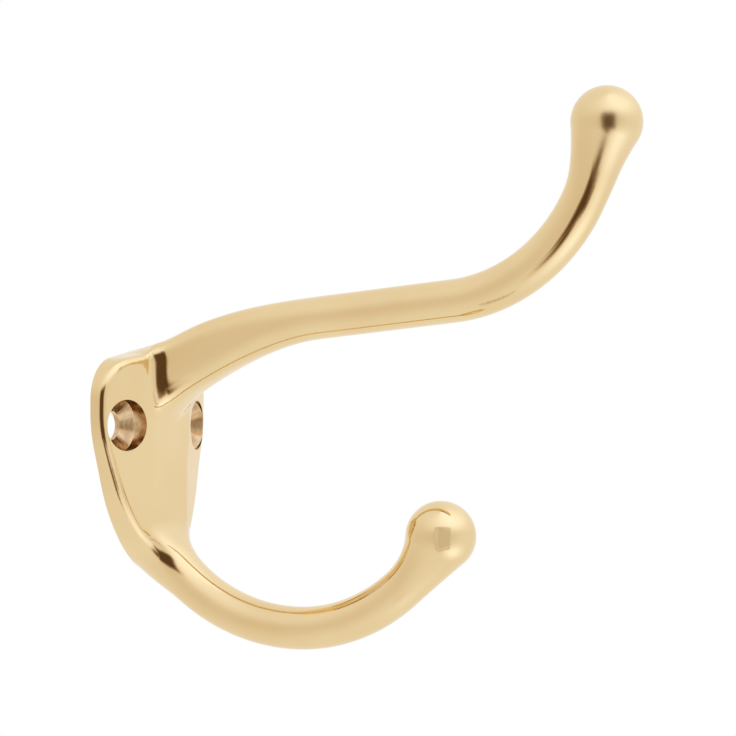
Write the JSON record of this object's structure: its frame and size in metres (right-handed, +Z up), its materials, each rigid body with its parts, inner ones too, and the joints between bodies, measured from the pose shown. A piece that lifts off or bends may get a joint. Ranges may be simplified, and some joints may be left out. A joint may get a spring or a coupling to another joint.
{
  "type": "hat and coat hook",
  "caption": "Cast wall hook for hats and coats: a shield-shaped back plate with countersunk screw holes, a long upper arm and a short lower hook, each tipped with a ball.",
  "frame": {"origin": "midway between the two screw holes, on the flat back face that lies against the wall", "axes": "+Z up the wall, +Y into the wall so that the hook stands out towards -Y, +X across the plate through both screw holes"},
  "size_m": [0.035, 0.0948, 0.0946],
  "materials": {
    "brass": "polished"
  },
  "bodies": {
    "root": {"coat_hook": "brass"}
  },
  "joints": []
}
